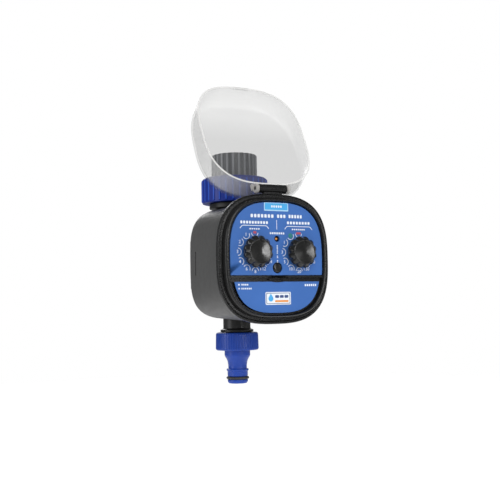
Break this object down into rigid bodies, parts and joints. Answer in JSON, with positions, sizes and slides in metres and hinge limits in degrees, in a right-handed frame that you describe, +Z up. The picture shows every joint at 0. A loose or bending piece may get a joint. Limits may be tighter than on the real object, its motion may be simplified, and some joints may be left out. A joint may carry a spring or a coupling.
{
  "type": "drip irrigation timer",
  "caption": "Tap-hung water timer: rounded square case, dials, clear swing-up lid, battery bay, motor ball valve, swivel inlet nut and hose spigot.",
  "frame": {"origin": "on the water axis, at the top face of the inlet adaptor, where the tap enters", "axes": "+Z up along the water axis, +X right seen from the front, -Y out of the dial face"},
  "size_m": [0.0856, 0.0935, 0.2149],
  "materials": {
    "case_grey": "fine-textured dark grey ABS",
    "bezel_black": "polished black ABS",
    "knob_black": "satin black moulded plastic",
    "label_blue": "printed blue polycarbonate label",
    "lid_clear": "frosted translucent polypropylene",
    "fitting_blue": "royal blue moulded acetal",
    "adaptor_grey": "dark grey moulded nylon",
    "body_black": "black glass-filled nylon",
    "seal_rubber": "black nitrile rubber",
    "white_acetal": "natural acetal",
    "steel": "zinc-plated or stainless steel",
    "brass": "machined brass",
    "board_green": "solder-masked fibreglass board",
    "battery_wrap": "printed plastic sleeve",
    "led_amber": "tinted epoxy lamp"
  },
  "bodies": {
    "case": {"back_plate": "case_grey", "battery_back": "battery_wrap", "battery_front": "battery_wrap", "battery_tray": "body_black", "case_screw_1": "steel", "case_screw_2": "steel", "case_screw_3": "steel", "case_screw_4": "steel", "circuit_board": "board_green", "connector_seal": "seal_rubber", "contact_plate_back": "steel", "contact_plate_front": "steel", "contact_spring_back": "steel", "contact_spring_front": "steel", "controller_chip": "body_black", "duration_potentiometer": "steel", "face_panel": "label_blue", "face_seal": "seal_rubber", "first_gear_axle": "steel", "frequency_potentiometer": "steel", "front_bezel": "bezel_black", "gearbox_base": "body_black", "gearbox_cover": "case_grey", "gearbox_screw_1": "steel", "gearbox_screw_2": "steel", "hinge_pin": "bezel_black", "inlet_strainer": "steel", "inlet_washer": "seal_rubber", "led_spacer": "white_acetal", "lower_seat": "white_acetal", "motor": "steel", "outlet_connector": "fitting_blue", "outlet_tailpiece": "body_black", "outlet_washer": "seal_rubber", "rear_housing": "case_grey", "second_gear_axle": "steel", "status_led": "led_amber", "stem_seal": "seal_rubber", "supply_capacitor": "battery_wrap", "tact_switch": "body_black", "upper_seat": "white_acetal", "valve_body": "body_black"},
    "swivel": {"inlet_nut": "fitting_blue", "inlet_adaptor": "adaptor_grey"},
    "lid": {"lid": "lid_clear"},
    "frequency_dial": {"frequency_knob": "knob_black", "frequency_shaft": "white_acetal"},
    "duration_dial": {"duration_knob": "knob_black", "duration_shaft": "white_acetal"},
    "button": {"manual_button": "knob_black", "switch_plunger": "white_acetal"},
    "door": {"battery_door": "bezel_black", "door_label": "label_blue"},
    "valve": {"valve_ball": "white_acetal", "valve_stem": "brass", "output_gear": "white_acetal"},
    "second_gear": {"second_gear": "white_acetal"},
    "first_gear": {"first_gear": "white_acetal"},
    "motor_drive": {"motor_pinion": "brass", "motor_shaft": "steel"}
  },
  "joints": [
    {"name": "inlet_swivel", "type": "hinge", "parent": "case", "child": "swivel", "pos_m": [0, 0, -0.026], "axis": [0, 0, 1], "continuous": true},
    {"name": "lid_hinge", "type": "hinge", "parent": "case", "child": "lid", "pos_m": [0, -0.055, -0.0312], "axis": [1, 0, 0], "range_deg": [0, 206.5]},
    {"name": "frequency_turn", "type": "hinge", "parent": "case", "child": "frequency_dial", "pos_m": [-0.017, -0.062, -0.0747], "axis": [0, -1, 0], "range_deg": [-150, 150]},
    {"name": "duration_turn", "type": "hinge", "parent": "case", "child": "duration_dial", "pos_m": [0.017, -0.062, -0.0747], "axis": [0, -1, 0], "range_deg": [-150, 150]},
    {"name": "button_press", "type": "slide", "parent": "case", "child": "button", "axis": [0, 1, 0], "range_m": [0, 0.001], "stiffness_N_per_m": 800},
    {"name": "door_pull", "type": "slide", "parent": "case", "child": "door", "axis": [0, 1, 0], "range_m": [-0.02, 0]},
    {"name": "valve_turn", "type": "hinge", "parent": "case", "child": "valve", "pos_m": [0, 0, -0.08], "axis": [0, -1, 0], "range_deg": [0, 90]},
    {"name": "second_gear_spin", "type": "hinge", "parent": "case", "child": "second_gear", "pos_m": [-0.00038, -0.0277, -0.06455], "axis": [0, -1, 0], "range_deg": [-241, 0]},
    {"name": "first_gear_spin", "type": "hinge", "parent": "case", "child": "first_gear", "pos_m": [0.01127, -0.031, -0.0695], "axis": [0, -1, 0], "range_deg": [0, 481]},
    {"name": "motor_spin", "type": "hinge", "parent": "case", "child": "motor_drive", "pos_m": [0.02096, -0.0326, -0.07763], "axis": [0, -1, 0], "range_deg": [-961, 0]}
  ],
  "couplings": [
    {"joint": "second_gear_spin", "follows": "valve_turn", "ratio": -2.6667},
    {"joint": "first_gear_spin", "follows": "valve_turn", "ratio": 5.3333},
    {"joint": "motor_spin", "follows": "valve_turn", "ratio": -10.667}
  ]
}
